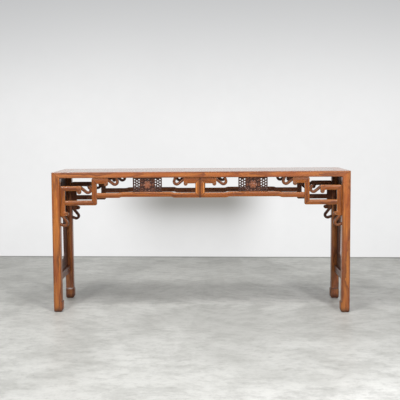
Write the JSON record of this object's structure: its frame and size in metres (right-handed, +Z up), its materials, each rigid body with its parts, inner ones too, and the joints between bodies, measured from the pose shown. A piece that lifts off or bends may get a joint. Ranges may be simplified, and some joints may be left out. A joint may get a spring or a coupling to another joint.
{
  "type": "altar table",
  "caption": "Long narrow wooden altar table with a framed panel top flush with square legs, hoof feet, openwork fretwork aprons with scroll ends and pierced blocks, and low side stretchers.",
  "frame": {"origin": "on the floor under the middle of the table", "axes": "+X along the length of the top, +Y from the front long side, which holds the pierced blocks, to the back one, +Z up"},
  "size_m": [1.83, 0.49, 0.872],
  "materials": {
    "rail_wood": "satin varnish, red-brown elm",
    "leg_wood": "satin varnish, red-brown elm",
    "panel_wood": "polished varnish, brown elm",
    "fret_wood": "satin varnish, red-brown elm",
    "carved_wood": "dark worn stain",
    "side_wood": "satin varnish, dark brown",
    "inner_wood": "bare wood, unfinished"
  },
  "bodies": {
    "root": {"batten_1": "inner_wood", "batten_2": "inner_wood", "batten_3": "inner_wood", "batten_4": "inner_wood", "centre_post_back_left": "fret_wood", "centre_post_back_right": "fret_wood", "centre_post_front_left": "fret_wood", "centre_post_front_right": "fret_wood", "corner_bar_back_left": "fret_wood", "corner_bar_back_right": "fret_wood", "corner_bar_front_left": "fret_wood", "corner_bar_front_right": "fret_wood", "corner_scroll_bar_back_left": "fret_wood", "corner_scroll_bar_back_right": "fret_wood", "corner_scroll_bar_front_left": "fret_wood", "corner_scroll_bar_front_right": "fret_wood", "drop_post_back_left": "fret_wood", "drop_post_back_right": "fret_wood", "drop_post_front_left": "fret_wood", "drop_post_front_right": "fret_wood", "inner_scroll_bar_back_left": "fret_wood", "inner_scroll_bar_back_right": "fret_wood", "inner_scroll_bar_front_left": "fret_wood", "inner_scroll_bar_front_right": "fret_wood", "leg_back_left": "leg_wood", "leg_back_right": "leg_wood", "leg_front_left": "leg_wood", "leg_front_right": "leg_wood", "long_bar_back_left": "fret_wood", "long_bar_back_right": "fret_wood", "long_bar_front_left": "fret_wood", "long_bar_front_right": "fret_wood", "long_rail_back": "rail_wood", "long_rail_front": "rail_wood", "lower_bar_back_left": "fret_wood", "lower_bar_back_right": "fret_wood", "lower_bar_front_left": "fret_wood", "lower_bar_front_right": "fret_wood", "outer_scroll_bar_back_left": "fret_wood", "outer_scroll_bar_back_right": "fret_wood", "outer_scroll_bar_front_left": "fret_wood", "outer_scroll_bar_front_right": "fret_wood", "pierced_block_left": "carved_wood", "pierced_block_right": "carved_wood", "short_rail_left": "rail_wood", "short_rail_right": "rail_wood", "side_back_stile_left": "side_wood", "side_back_stile_right": "side_wood", "side_bottom_board_left": "side_wood", "side_bottom_board_right": "side_wood", "side_front_stile_left": "side_wood", "side_front_stile_right": "side_wood", "side_stretcher_left": "side_wood", "side_stretcher_right": "side_wood", "side_top_board_left": "side_wood", "side_top_board_right": "side_wood", "top_panel": "panel_wood"}
  },
  "joints": []
}
